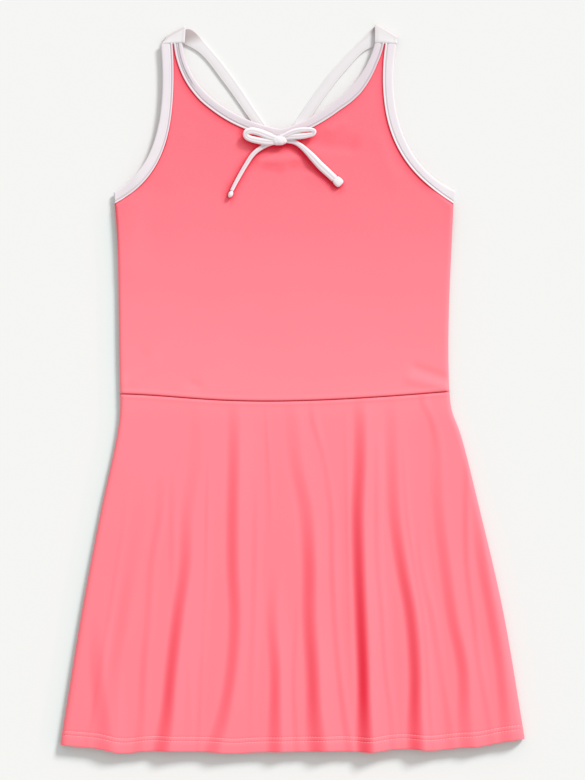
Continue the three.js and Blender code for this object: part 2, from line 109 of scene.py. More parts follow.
# Folds of the front skirt. At each height of FOLD_ROWS a fold is a step up to the right of its place, by
# its rise, and the cloth falls away again over its reach: places, rises, width of the step, reach. A
# list shorter than FOLD_ROWS is for the lowest of them, and its first value holds above too.
FOLD_ROWS = [-14, -30, -70, -120, -170, -220, -270, -320, -350]
FOLD_LEAN = 0.2             # share of the reach by which the fall lies to the right of the step
HEM_SPREAD = 0.3            # a step is this much wider at the hem
SPREAD_FROM, SPREAD_OVER = -290.0, 60.0     # the height from which it widens, and over how much below that
FOLDS = [
    ([-189, -185, -183], [0, 0.6, 2.8, 3.4, 3.2], 18, 40),
    ([-146, -148, -156, -164, -172, -176, -178], [0, 0.5, 1.2, 2, 1.8, 1.2, 0.8], 17, 34),
    ([-94, -102, -104, -111, -117, -122, -127], [0.2, 0.5, 0.8, 1.7, 3.6, 5.4, 6.4, 6.6, 6.2], 15, 54),
    ([-57, -58, -58, -56, -59, -68, -78], [0.5, 1.6, 3.4, 4.3, 4.6, 4.3, 4.4, 4.4, 4.4], 15, 46),
    ([-18, -20, -17, -17, -17], [0, 0.3, 2.2, 4.3, 5.4, 5.6], 14, 30),
    ([-3, -1, 3, 13, 16, 16, 19, 21, 24], [0.4, 1.1, 2, 3.2, 5.4, 5.8, 7, 7.2, 6.6], 17, 48),
    ([64, 65, 65, 63, 64, 66, 68, 69, 70], [0.8, 2.6, 5, 6.5, 8, 9.2, 10, 9.8, 8.8], 15, 48),
    ([94, 95, 96, 98, 105, 114, 118, 118, 119], [0.4, 1, 2.2, 3.3, 5.2, 6.4, 7.2, 7.8, 7.6], 15, 44),
    ([138, 141, 147, 154, 164, 166, 169], [0.2, 0.5, 1, 2.2, 3.1, 3.7, 4.4, 3.4, 3], 15, 36),
    ([176, 177, 183, 192, 200, 205, 207], [0, 0.6, 2.6, 3.1, 2.9, 2.7, 2.2], 13, 26),
]
# Finer creases between them, only in the cloth
FINE_FOLDS = [
    ([18, 19, 30, 37, 38, 40, 44, 50, 55], [0.3, 0.9, 0.6, 1, 1.4, 1.2, 1.3, 1.6, 1.5], 8, 14),
    ([80, 81, 81, 82, 86, 89, 95, 97], [0, 0.5, 0.8, 0.8, 0.9, 0.9, 0.9, 0.9], 7, 12),
    ([120, 121, 123, 134, 142, 150, 154], [0, 0.2, 0.8, 1.1, 0.9, 1.1, 1], 9, 16),
    ([-36, -37, -38, -40, -41, -42], [0, 0.6, 0.9, 0.7, 0.7, 0.4, 0.2], 8, 14),
    ([4, 1, 2, 4], [0, 0.4, 0.7, 1, 0.8], 6.5, 12),
    ([168, 167, 168, 174, 180, 189, 193], [0, 0.7, 1.2, 1.3, 1.1, 0.9, 0.9, 0.8], 8, 14),
    ([-127, -129, -137, -140, -144, -146, -149], [0, 1, 1.2, 1.1, 1.4, 1.4, 1.5], 10, 18),
    ([-117], [0, 0.7, 0.7, 0, 0, 0, 0], 8, 14),
    ([125, 133, 141, 141, 141, 141, 141, 141, 141], [0.8, 0.9, 0.4, 0, 0, 0, 0, 0, 0], 9, 16),
    ([-101], [0, 0.3, 0.5, 0.3], 8, 14),
    ([-82, -83, -84, -86, -88, -90, -92], [0, 0.2, 0.5, 0.4, 0.2, 0.4, 0.6, 0.5], 5, 9),
    ([-27, -26, -24, -22, -21, -8, -6, -5, -4], [0, 0.3, 0.5, 0.3, 0, 0, 0, 0.2, 0.4], 5, 9),
    ([50, 51, 52, 53, 54, 56, 58, 60], [0, 0.2, 0.3, 0.6, 0.6, 0.5, 0.3, 0, 0], 5, 9),
    ([104, 105, 107, 110, 117, 126, 130, 133, 136], [0, 0.2, 0.4, 0.5, 0.4, 0.5, 0.6, 0.4], 5, 9),
    ([-160, -161, -163, -170, -178, -186, -194, -200], [0, 0.2, 0.5, 0.5, 0.3, 0.5, 0.6], 6, 11),
]
# Soft creases of the bodice: from, to, height, half width. A dent is negative.
BODICE_CREASES = [
    ((-31, 220), (6, 222), 1.0, 5.0),
    ((-26, 214), (-12, 212), -0.7, 4.0),
    ((0, 216), (14, 214), -0.6, 4.0),
    ((20, 205), (30, 200), 0.5, 5.0),
    ((30, 238), (58, 236), -1.3, 8.0),
    ((36, 250), (48, 256), 0.8, 6.0),
    ((-143.6, 30.5), (-159, 14), -0.45, 6.5),
    ((-134, 27), (-152, 8), 0.35, 6.5),
    ((-97, 4), (-93, 3), -0.6, 5.0),
    ((119, 20), (147, 10), -0.9, 4.5),
    ((114, 9), (148, 1), 0.8, 4.5),
    ((-120, 205), (-100, 240), 0.4, 9.0),
    ((96, 205), (84, 240), 0.4, 8.0),
    ((-156, 176), (-156, 120), 1.0, 15.0),
]
# Low troughs under the back panels, where the cloth stands off the floor a little: from, to, rise, half width
BACK_CREASES = [
    ((-60, -40), (-92, -330), 0.9, 7.0),
    ((-20, -60), (-24, -320), 0.6, 6.0),
    ((28, -45), (40, -335), 0.8, 7.0),
    ((88, -70), (116, -330), 0.9, 8.0),
    ((130, -90), (170, -325), 0.6, 7.0),
    ((-120, -80), (-158, -325), 0.7, 7.0),
    ((-140, 40), (-110, 14), 0.5, 6.0),
    ((120, 36), (96, 12), 0.5, 6.0),
    ((-120, 160), (-60, 172), 0.5, 7.0),
    ((60, 176), (110, 160), 0.5, 7.0),
]


def bell(distance, width):
    """Bell curve exp(-(distance / width)^2)."""
    return np.exp(-((distance / width) ** 2))


def unit_length(vectors):
    return vectors / np.linalg.norm(vectors, axis=-1, keepdims=True)


def run_lengths(line):
    """Length along a polyline up to each of its points: the sum of its spans so far."""
    return np.concatenate([[0], np.cumsum(np.linalg.norm(np.diff(line, axis=0), axis=1))])


def measured(line):
    """Reads a polyline at shares of its length: each coordinate is interpolated over the summed spans."""
    line = np.asarray(line, float)
    length = run_lengths(line)
    share = length / length[-1]
    return lambda t: np.stack([np.interp(t, share, line[:, k]) for k in range(line.shape[1])], axis=-1)


def cubic(name):
    """Cubic Bezier of the outline's control points, weights (1-s)^3, 3s(1-s)^2, 3s^2(1-s) and s^3."""
    p = np.array(OUTLINES[name], float)
    s = np.linspace(0, 1, 400)[:, None]
    weights = [(1 - s) ** 3, 3 * s * (1 - s) ** 2, 3 * s**2 * (1 - s), s**3]
    return measured(sum(w * q for w, q in zip(weights, p)))


def smooth_points(points, steps=24):
    """Centripetal spline through the points: each span is the cubic whose end slopes come from its
    neighbours, weighed by the square roots of the spans' lengths."""
    p = np.asarray(points, float)
    p = np.vstack([2 * p[0] - p[1], p, 2 * p[-1] - p[-2]])
    root = np.sqrt(np.linalg.norm(np.diff(p, axis=0), axis=1))[:, None]
    before, here, there, after = p[:-3], p[1:-2], p[2:-1], p[3:]
    r0, r1, r2 = root[:-2], root[1:-1], root[2:]
    slope_here = r1 * ((here - before) / r0 - (there - before) / (r0 + r1) + (there - here) / r1)
    slope_there = r1 * ((there - here) / r1 - (after - here) / (r1 + r2) + (after - there) / r2)
    s = (np.arange(steps) / steps)[:, None, None]
    spans = ((2 * s**3 - 3 * s**2 + 1) * here + (s**3 - 2 * s**2 + s) * slope_here
             + (3 * s**2 - 2 * s**3) * there + (s**3 - s**2) * slope_there)
    return np.vstack([spans.transpose(1, 0, 2).reshape(-1, p.shape[1]), p[-2]])


def through(points):
    return measured(smooth_points(points))


def smooth_step(t):
    s = np.clip(t, 0, 1)
    return s * s * (3 - 2 * s)


def mix(a, b, t):
    return a + (b - a) * t


def chained(first, second, share):
    """Two lines end to end: the first takes the share given, the second the rest."""
    def read(t):
        t = np.asarray(t, float)
        early = first(np.clip(t / share, 0, 1))
        late = second(np.clip((t - share) / (1 - share), 0, 1))
        return np.where((t <= share)[..., None], early, late)
    return read


def run_of(line, t):
    """Unit tangent at shares t of a line: from a point just before to one just after."""
    return unit_length(line(np.minimum(t + 0.002, 1)) - line(np.maximum(t - 0.002, 0)))


def sideways(line, distance):
    """The line moved to the left of its run: point plus distance times its tangent turned by 90 degrees."""
    def read(t):
        t = np.asarray(t, float)
        tangent = run_of(line, t)
        away = np.asarray(distance(t) if callable(distance) else distance)[..., None]
        return line(t) + away * np.stack([-tangent[..., 1], tangent[..., 0]], axis=-1)
    return read


def patch(low, high, left, right):
    """Surface in plan that meets four edge lines: the blend of low and high, plus the blend of left and
    right, less the blend of the four corners."""
    c00, c10, c01, c11 = low(0.0), low(1.0), high(0.0), high(1.0)

    def read(u, v):
        u, v = np.broadcast_arrays(u, v)
        s, t = u[..., None], v[..., None]
        square = mix(mix(c00, c10, s), mix(c01, c11, s), t)
        return mix(low(u), high(u), t) + mix(left(v), right(v), s) - square
    return read


def bell_ridges(x, y, rows):
    """Sum of soft ridges: height times exp(-(distance from the row's line / half width)^2)."""
    z = np.zeros_like(x)
    for start, end, height, width in rows:
        (ax, ay), (bx, by) = start, end
        dx, dy = bx - ax, by - ay
        t = np.clip(((x - ax) * dx + (y - ay) * dy) / (dx * dx + dy * dy), 0, 1)
        away = (x - ax - t * dx) ** 2 + (y - ay - t * dy) ** 2
        z = z + height * np.exp(-away / width**2)
    return z


def on_rows(values, y):
    """Values at the lowest of FOLD_ROWS, the first of them at those above too, read at the heights y from
    a smooth line through them."""
    filled = np.pad(values, (len(FOLD_ROWS) - len(values), 0), mode="edge")
    line = smooth_points(np.column_stack([-np.array(FOLD_ROWS), filled]))
    return np.interp(-y, line[:, 0], line[:, 1])


def folds(x, y, rows, falls=True):
    """Sum of long folds: each is its rise times the difference of two smooth steps, the narrow one at its
    place and the wide one that falls away to the right of it."""
    z = np.zeros_like(x)
    for places, rises, width, reach in rows:
        off = x - on_rows(places, y)
        spread = width * (1 + HEM_SPREAD * smooth_step((SPREAD_FROM - y) / SPREAD_OVER))
        step = smooth_step(off / spread + 0.5)
        fall = smooth_step(off / reach - FOLD_LEAN + 0.5) if falls else 0
        z = z + np.maximum(on_rows(rises, y), 0) * (step - fall)
    return z


def panel_grid(place, top, edge, radius, width, v, columns, round_steps=10):
    """Rows of a panel with rounded sides. From a side inwards the surface is a quarter ellipse, in plan
    radius (1 - cos a) and in height edge + (top - edge) sin a, and then it follows the height top. Edge,
    radius and width are each one number, or one for each row."""
    edge, radius, width = [np.broadcast_to(value, len(v))[:, None] for value in (edge, radius, width)]
    k = np.arange(columns + 1)
    from_side = np.minimum(k, columns - k)
    angle = np.minimum(from_side, round_steps) / round_steps * np.pi / 2
    reach = (from_side - round_steps) / (columns / 2 - round_steps)
    inward = np.where(from_side <= round_steps, radius * (1 - np.cos(angle)), mix(radius, width / 2, reach))
    share = inward / width
    u = np.where(k * 2 <= columns, share, 1 - share)
    v = np.broadcast_to(v[:, None], u.shape)
    flat = place(u, v)
    x, y = flat[..., 0], flat[..., 1]
    z = edge + (top(x, y, u, v) - edge) * np.sin(angle)
    return np.stack([x, y, z], axis=-1)


def grid_normals(grid):
    """Unit normals of a grid: the cross product of its slopes along the columns and along the rows."""
    across = np.gradient(grid, axis=1)
    along = np.gradient(grid, axis=0)
    normal = np.cross(across, along)
    return normal / np.maximum(np.linalg.norm(normal, axis=-1, keepdims=True), 1e-9)


def grid_faces(rows, columns, wrap=False, flip=False):
    """Quads between neighbouring rows and columns of a grid, round the last column too where it wraps."""
    r = np.arange(rows - 1)[:, None]
    c = np.arange(columns if wrap else columns - 1)[None, :]
    following = (c + 1) % columns
    corners = [r * columns + c, r * columns + following, (r + 1) * columns + following, (r + 1) * columns + c]
    faces = np.stack([np.broadcast_to(q, (rows - 1, c.size)) for q in corners], axis=-1).reshape(-1, 4)
    return faces[:, ::-1] if flip else faces


def make_piece(name, points, faces, uv, material, replaced=(), slot=None, wall=None, **attributes):
    """One mesh object in metres, smooth, with its UV map in metres of cloth and its named point values."""
    mesh = bpy.data.meshes.new(name)
    mesh.from_pydata((np.asarray(points) * MM).tolist(), [], [f.tolist() for f in faces])
    mesh.polygons.foreach_set("use_smooth", np.ones(len(mesh.polygons), bool))
    corner = np.zeros(len(mesh.loops), np.int32)
    mesh.loops.foreach_get("vertex_index", corner)
    layer = mesh.uv_layers.new(name="cloth")
    layer.data.foreach_set("uv", (np.asarray(uv) * MM)[corner].astype(np.float32).ravel())
    for key, values in attributes.items():
        held = mesh.attributes.new(key, "FLOAT", "POINT")
        held.data.foreach_set("value", np.asarray(values, np.float32).ravel())
    mesh.materials.append(material)
    mesh.update()
    piece = bpy.data.objects.new(name, mesh)
    bpy.context.scene.collection.objects.link(piece)
    if wall:
        thick = piece.modifiers.new("wall", "SOLIDIFY")
        thick.thickness, thick.offset = wall * MM, -1
        thick.use_even_offset = False
    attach(piece, "root")
    if replaced:
        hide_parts(*replaced)
    return piece


def cloth_uv(grid):
    """Distances over the cloth: along the columns and along the rows, both through the grid's middle."""
    lengths = [run_lengths(line) for line in (grid[grid.shape[0] // 2], grid[:, grid.shape[1] // 2])]
    return np.stack(np.meshgrid(*lengths), axis=-1)


def grid_piece(name, grid, material, wrap=False, flip=False, **rest):
    rows, columns = grid.shape[:2]
    uv = cloth_uv(grid).reshape(-1, 2)
    return make_piece(name, grid.reshape(-1, 3), grid_faces(rows, columns, wrap, flip), uv, material, **rest)


# Materials


def linear(colour):
    """sRGB hex to linear: c / 12.92 in the dark part, else ((c + 0.055) / 1.055) ^ 2.4."""
    c = np.array([int(colour[i:i + 2], 16) for i in (1, 3, 5)]) / 255
    return (*np.where(c <= 0.04045, c / 12.92, ((c + 0.055) / 1.055) ** 2.4), 1.0)


def add(tree, kind, sockets=None, **settings):
    """Adds a node, sets its properties, and gives each named or numbered socket a value or a link."""
    node = tree.nodes.new(kind)
    for key, value in settings.items():
        setattr(node, key, value)
    for key, value in (sockets or {}).items():
        if isinstance(value, bpy.types.NodeSocket):
            tree.links.new(value, node.inputs[key])
        else:
            node.inputs[key].default_value = value
    return node


def new_material(name):
    material = bpy.data.materials.new(name)
    material.use_nodes = True
    material.node_tree.nodes.clear()
    return material, material.node_tree


def wave_scale(period):
    """Scale of a Wave texture whose bands repeat every period millimetres: 2 pi / (20 period)."""
    return 2 * np.pi / (20 * period * MM)


def colour_mix(tree, share, first, second, blend="MIX"):
    mixed = add(tree, "ShaderNodeMix", {0: share, 6: first, 7: second}, data_type="RGBA", blend_type=blend)
    return mixed.outputs[2]


def point_value(tree, name):
    return add(tree, "ShaderNodeAttribute", attribute_name=name).outputs["Fac"]


def own_place(tree):
    return add(tree, "ShaderNodeTexCoord").outputs["Object"]


def height_up(tree):
    """Metres up the dress from the frame's origin."""
    return add(tree, "ShaderNodeSeparateXYZ", {0: own_place(tree)}).outputs["Y"]


def rescaled(tree, value, start, end, low=0.0, high=1.0):
    """Low where the value is start or before it, high at end or past it, and in proportion between them."""
    return add(tree, "ShaderNodeMapRange", {0: value, 1: start, 2: end, 3: low, 4: high}).outputs[0]


def product(tree, first, second):
    return add(tree, "ShaderNodeMath", {0: first, 1: second}, operation="MULTIPLY").outputs[0]


def uneven(tree, colour, scale, low, high):
    """The colour times a soft noise that lies between low and high."""
    noise = add(tree, "ShaderNodeTexNoise", {"Vector": own_place(tree), "Scale": scale, "Detail": 2.0})
    patches = rescaled(tree, noise.outputs["Fac"], 0.0, 1.0, low, high)
    return colour_mix(tree, 1.0, colour, patches, "MULTIPLY")


def finished(tree, looks, height=None, strength=0.0, depth=0.0):
    """Ends a material with one shader of these looks, and a bump of the height given, depth mm deep."""
    if height is not None:
        bump = add(tree, "ShaderNodeBump", {"Height": height, "Strength": strength, "Distance": depth * MM})
        looks = {**looks, "Normal": bump.outputs[0]}
    shader = add(tree, "ShaderNodeBsdfPrincipled", looks)
    add(tree, "ShaderNodeOutputMaterial", {0: shader.outputs[0]})


def knit_height(tree, wale, course):
    """Raised stitches of a jersey: bands of wales across the cloth, and rows of courses along it."""
    uv = add(tree, "ShaderNodeUVMap", uv_map="cloth")
    heights = [add(tree, "ShaderNodeTexWave", {"Vector": uv.outputs[0], "Scale": wave_scale(period),
                                               "Distortion": 0.3, "Detail": 1.0},
                   wave_type="BANDS", bands_direction=direction).outputs["Fac"]
               for period, direction in ((wale, "X"), (course, "Y"))]
    return add(tree, "ShaderNodeMath", {0: heights[0], 1: heights[1]}, operation="ADD").outputs[0]


LIGHT_SIDE = (0.6, 0.8, 0.0)    # where the light comes from, seen from above


def close_shade(tree, reach, clear, deepest, leant=True):
    """Painted shade beside something that stands within reach, in mm, from ambient occlusion: 0 where the
    open share of the air is clear, 1 where it is deepest. With the normal leant to the light, the painted
    shade lies on the side away from it."""
    sockets = {"Distance": reach * MM}
    if leant:
        normal = add(tree, "ShaderNodeNewGeometry").outputs["Normal"]
        both = add(tree, "ShaderNodeVectorMath", {0: normal, 1: LIGHT_SIDE}, operation="ADD")
        unit = add(tree, "ShaderNodeVectorMath", {0: both.outputs[0]}, operation="NORMALIZE")
        sockets["Normal"] = unit.outputs[0]
    open_air = add(tree, "ShaderNodeAmbientOcclusion", sockets, samples=8).outputs["AO"]
    return rescaled(tree, open_air, clear, deepest)


# Painted shade on the coral knit, lightest at the waist, a little darker towards the hem and darker still
# towards the shoulders: its span of heights in metres, and its colours at shares of that span
PAINTED_SHADE_SPAN = (-0.36, 0.34)
PAINTED_SHADE_STOPS = [(0.0, "#fd8490"), (0.30, "#fd8692"), (0.47, "#ff8995"), (0.515, "#ff8e99"), (0.66, "#ff8692"),
              (0.85, "#ff7c89"), (1.0, "#ff7a88")]
# Painted shade colours: on the side of a fold away from the light, in the seams, and the bow's shadow
CREASE_SHADE_RED, SEAM_SHADOW_RED, BOW_SHADE_RED = "#f63852", "#a01034", "#c00030"
BOW_SPAN = (0.12, 0.16)         # metres up over which the bow's painted shadow comes in
BOW_SHADE = (9.0, 0.86, 0.54)   # reach in mm of the bow's painted shadow, and the open shares of air where it is none and full


def coral_knit():
    """Interlock jersey of polyester and elastane, piece dyed coral: matt, a little sheen, and a painted red
    glow, so a shaded crease turns redder before it turns dark. Painted shade on it too: by height, in the
    folds, in the seams and beside the bow. Real wales are 0.6 mm apart and are drawn 1.3 mm apart."""
    material, tree = new_material("interlock_jersey_coral")
    # Painted shade: the coral's colour by height, lighter at the waist and darker towards the shoulders
    ramp = add(tree, "ShaderNodeValToRGB", {0: rescaled(tree, height_up(tree), *PAINTED_SHADE_SPAN)})
    for at, colour in PAINTED_SHADE_STOPS[1:-1]:
        ramp.color_ramp.elements.new(at).color = linear(colour)
    for end in (0, -1):
        ramp.color_ramp.elements[end].color = linear(PAINTED_SHADE_STOPS[end][1])
    # Painted shade on the side of each fold away from the light, where the crease value is set
    folded = colour_mix(tree, point_value(tree, "crease"), ramp.outputs[0], linear(CREASE_SHADE_RED))
    # Painted shadow: a dark line in the waist seam and along the armholes, where the seam value is set
    seam_shadowed = colour_mix(tree, point_value(tree, "seam"), folded, linear(SEAM_SHADOW_RED))
    # Painted shadow of the bow on the bodice, on the side away from the light
    bow_part = rescaled(tree, height_up(tree), *BOW_SPAN)
    beside = product(tree, close_shade(tree, *BOW_SHADE), bow_part)
    deep = colour_mix(tree, beside, seam_shadowed, linear(BOW_SHADE_RED))
    # Painted glow: a weak red emission over all the coral, so that shaded parts stay red
    looks = {"Base Color": uneven(tree, deep, 14.0, 0.97, 1.03), "Roughness": 0.82,
             "Specular IOR Level": 0.25, "Sheen Weight": 0.08, "Sheen Roughness": 0.5,
             "Emission Color": linear("#ff1020"), "Emission Strength": 0.16}
    finished(tree, looks, knit_height(tree, 1.3, 1.0), 0.25, 0.04)
    return material


def white_jersey(name, colour, shade, wale):
    """Bleached jersey folded into bands: matt white with a faint pink cast, and a painted shade, darker,
    wherever its groove value is set."""
    material, tree = new_material(name)
    base = colour_mix(tree, point_value(tree, "groove"), linear(colour), linear(shade))
    looks = {"Base Color": uneven(tree, base, 60.0, 0.97, 1.02), "Roughness": 0.85,
             "Specular IOR Level": 0.25, "Sheen Weight": 0.05}
    finished(tree, looks, knit_height(tree, wale, wale), 0.3, 0.05)
    return material


def spun_thread(name, colour):
    """Spun polyester thread: satin, with the twist of its strands as fine slanting bands."""
    material, tree = new_material(name)
    twist = add(tree, "ShaderNodeTexWave", {"Vector": own_place(tree), "Scale": wave_scale(0.5)},
                wave_type="BANDS", bands_direction="DIAGONAL").outputs["Fac"]
    looks = {"Base Color": linear(colour), "Roughness": 0.6, "Specular IOR Level": 0.35}
    finished(tree, looks, twist, 0.3, 0.04)
    return material


# Paper white, and the tints of its painted shadow: all round the coral, and deeper on its side away from the
# light
PAPER, NEAR_SHADOW_TINT, SHADOW_TINT = "#f4f4f2", "#d8f2f0", "#b4ece6"
CORAL_TOP = (0.195, 0.155)      # metres up over which the floor's painted shadow fades out towards the white parts


def floor_paper():
    """Matt seamless paper, white. Beside the coral, which throws pink light on it, a painted shadow makes the
    paper darker and cooler, so that the shadow comes out grey."""
    material, tree = new_material("seamless_paper")
    coral_part = rescaled(tree, height_up(tree), *CORAL_TOP)
    near_shadow_part = product(tree, close_shade(tree, 30.0, 1.0, 0.0, leant=False), coral_part)
    shadow_part = product(tree, close_shade(tree, 24.0, 1.0, 0.0), coral_part)
    beside = colour_mix(tree, near_shadow_part, linear(PAPER), linear(NEAR_SHADOW_TINT))
    paper = colour_mix(tree, shadow_part, beside, linear(SHADOW_TINT))
    finished(tree, {"Base Color": paper, "Roughness": 0.95, "Specular IOR Level": 0.1})
    return material


CORAL = coral_knit()
# White jerseys: colour, the colour of the painted shade, and wale
BINDING = white_jersey("jersey_binding_white", "#f0e8ec", "#cfc4c9", 1.2)
NECK_CLOTH = white_jersey("jersey_neck_binding_white", "#e5dbe0", "#c8bcc1", 1.2)
STRAP_CLOTH = white_jersey("jersey_strap_white", "#eeeaeb", "#bfb2b2", 1.2)
BOW_CLOTH = white_jersey("jersey_tie_white", "#f8f0f3", "#b9a5ad", 0.9)
CORAL_THREAD = spun_thread("spun_thread_coral", "#ffc0c4")
WHITE_THREAD = spun_thread("spun_thread_white", "#f4eff0")


# Bow at the neckline: cords first


def tube_grid(path, half_width, half_height, sides=20, groove=0.0):
    """Soft flat tube along a path. Its side axis is level, square to the run; a section is an ellipse of
    the two half sizes, with a groove along the middle of its upper face."""
    run = unit_length(np.gradient(path, axis=0))
    side = unit_length(np.cross(run, [0, 0, 1.0]))
    up = np.cross(side, run)
    angle = np.arange(sides) / sides * 2 * np.pi
    across = np.cos(angle)
    lift = np.sin(angle) * (1 - groove * bell(across, 0.3) * (np.sin(angle) > 0))
    return (path[:, None] + side[:, None] * (half_width[:, None] * across)[..., None]
            + up[:, None] * (half_height * lift)[None, :, None])


CAP_ANGLES = np.array([0.5, 0.9, 1.2])[:, None, None]


def closed_tube(name, grid, dome=0.5, groove=None, **rest):
    """A tube of the tie's cloth with a cap at each end: rings that shrink onto a middle point, standing out
    by the share dome of the end's least radius. The function groove gives the painted shade at each point."""
    columns = grid.shape[1]
    middles = grid.mean(axis=1)
    caps, poles = [], []
    for end, middle, inner in ((grid[0], middles[0], middles[1]), (grid[-1], middles[-1], middles[-2])):
        run = unit_length(middle - inner)
        out = dome * np.linalg.norm(end - middle, axis=1).min()
        caps.append(middle + (end - middle) * np.cos(CAP_ANGLES) + run * out * np.sin(CAP_ANGLES))
        poles.append(caps[-1][-1].mean(axis=0) + run * 0.1 * dome)
    full = np.concatenate([caps[0][::-1], grid, caps[1]])
    points = np.vstack([full.reshape(-1, 3), *poles])
    count = len(full) * columns
    k = np.arange(columns)
    onward = (k + 1) % columns
    last = count - columns
    first_fan = np.stack([np.full(columns, count), onward, k], axis=1)
    last_fan = np.stack([np.full(columns, count + 1), last + k, last + onward], axis=1)
    faces = [*grid_faces(len(full), columns, wrap=True), *first_fan, *last_fan]
    uv = np.vstack([cloth_uv(full).reshape(-1, 2), [[0, 0], [0, 0]]])
    shade = groove(points) if groove else np.zeros(len(points))
    return make_piece(name, points, faces, uv, BOW_CLOTH, slot="white_binding", groove=shade, **rest)


def ball_grid(centre, half, turn, dents, square, rings=18, sides=40):
    """Ellipsoid by latitude and longitude, turned about the vertical; dents lowers its radius. In plan it
    grows from an ellipse to a rounded oblong as square falls below 1, the power of the cosine and sine."""
    lat = np.linspace(-1.5, 1.5, rings)[:, None]
    lon = np.arange(sides)[None, :] / sides * 2 * np.pi
    level, side = [np.sign(k) * np.abs(k) ** square for k in (np.cos(lon), np.sin(lon))]
    wide = np.cos(lat) ** square
    unit = np.stack([wide * level, wide * side, np.broadcast_to(np.sin(lat), (rings, sides))], axis=-1)
    p = unit * np.array(half) * (1 - dents(unit))[..., None]
    c, s = np.cos(turn), np.sin(turn)
    x, y = p[..., 0] * c - p[..., 1] * s, p[..., 0] * s + p[..., 1] * c
    return np.stack([x, y, p[..., 2]], axis=-1) + np.array(centre)


TAIL_LEFT = [
    (-19.5, 237.4, 8.6), (-25.0, 235.3, 8.2), (-33.9, 230.0, 8.0), (-39.6, 224.3, 8.0), (-44.7, 216.5, 8.0),
    (-49.6, 208.2, 8.0), (-54.3, 199.7, 8.2), (-57.7, 193.1, 8.6), (-58.6, 191.2, 8.8),
]
TAIL_LEFT_WIDTHS = ((0, 0.3, 0.8, 1), (4.6, 4.3, 3.8, 3.4))
TAIL_RIGHT = [
    (-5.0, 239.2, 8.6), (2.3, 237.7, 8.5), (8.3, 234.0, 8.8), (13.9, 229.0, 9.4), (19.6, 223.1, 9.7),
    (26.5, 215.6, 9.4), (34.1, 208.6, 8.7), (38.2, 204.8, 8.3), (40.4, 202.8, 8.2),
]
TAIL_RIGHT_WIDTHS = ((0, 0.2, 0.35, 0.5, 0.75, 1), (4.4, 4.6, 5.6, 7.0, 7.7, 7.3))
LOOP_LEFT = [
    (-13.5, 240.2, 10.6), (-20.9, 242.6, 11.1), (-26.5, 244.8, 11.6), (-33.5, 247.4, 12.0),
    (-40.0, 248.5, 12.1), (-44.0, 247.4, 11.9), (-45.0, 245.2, 11.6), (-44.0, 242.9, 11.3),
    (-40.6, 241.0, 11.1), (-34.9, 239.6, 10.9), (-27.9, 238.4, 10.7), (-21.6, 237.9, 10.4),
    (-14.5, 238.0, 10.2),
]
LOOP_LEFT_WIDTHS = ((0, 0.15, 0.4, 0.5, 0.6, 0.85, 1), (5.0, 7.0, 6.6, 5.8, 6.0, 7.0, 5.2))
LOOP_RIGHT = [
    (-12.5, 241.5, 10.6), (-6.8, 244.2, 11.1), (-1.2, 246.8, 11.6), (5.1, 248.7, 12.1), (12.9, 249.5, 12.4),
    (18.2, 249.4, 12.4), (21.0, 248.0, 12.1), (20.0, 245.7, 11.7), (14.3, 244.2, 11.5), (7.3, 243.4, 11.3),
    (0.2, 243.0, 11.0), (-6.1, 242.3, 10.7), (-12.0, 240.2, 10.3),
]
LOOP_RIGHT_WIDTHS = ((0, 0.15, 0.35, 0.45, 0.55, 0.7, 0.9, 1), (4.4, 5.4, 4.8, 3.9, 4.4, 5.8, 6.0, 4.8))


def path_line_shade(points, path, reach=0.6):
    """Painted shade near the path's line, seen from above: 0.45 exp(-(distance / reach)^2)."""
    away = np.linalg.norm(points[:, None, :2] - path[None, :, :2], axis=2).min(axis=1)
    return 0.45 * bell(away, reach)


def tie_piece(name, node, points, widths, height, count=70, groove=0.22):
    """A length of the tie through the points, with a table of widths over its length."""
    share = np.linspace(0, 1, count)
    path = through(points)(share)
    grid = tube_grid(path, np.interp(share, *widths) / 2, height / 2, groove=groove)
    return closed_tube(name, grid, groove=lambda p: path_line_shade(p, path), replaced=[node]), path


tail_left, path_left = tie_piece(
    "bow_tail_left_cord", "bow_tail_left", TAIL_LEFT, TAIL_LEFT_WIDTHS, 3.2, groove=0.1)
tail_right, path_right = tie_piece(
    "bow_tail_right_cord", "bow_tail_right", TAIL_RIGHT, TAIL_RIGHT_WIDTHS, 3.4)
tie_piece("bow_loop_left_cloth", "bow_loop_left", LOOP_LEFT, LOOP_LEFT_WIDTHS, 3.4, 110)
tie_piece("bow_loop_right_cloth", "bow_loop_right", LOOP_RIGHT, LOOP_RIGHT_WIDTHS, 3.2, 110)


def wrap_dents(unit):
    """Two slanting grooves round the knot, as the tie is wound over itself."""
    x = unit[..., 0] + 0.25 * unit[..., 1]
    return sum(0.055 * bell(x - at, 0.15) for at in (-0.42, 0.36))


def end_dents(unit):
    """A seam round the end of the tie, where it is turned in."""
    return 0.06 * bell(unit[..., 1] - 0.45, 0.12)


def ball_piece(node, centre, half, turn, dents, square=1.0):
    grid = ball_grid(centre, half, turn, dents, square)
    return closed_tube(f"{node}_cloth", grid, BALL_DOME, replaced=[node])


BALL_DOME = 0.02
ball_piece("bow_knot", (-12.5, 239.4, 10.2), (7.3, 4.8, 2.9), 0.08, wrap_dents, 0.8)
end_left = ball_piece("bow_end_left", (-59.7, 187.6, 8.9), (2.3, 3.4, 2.1), -0.46, end_dents)
end_right = ball_piece("bow_end_right", (44.0, 199.7, 8.3), (4.5, 4.5, 2.0), 0.8, end_dents, 0.62)


# Panels

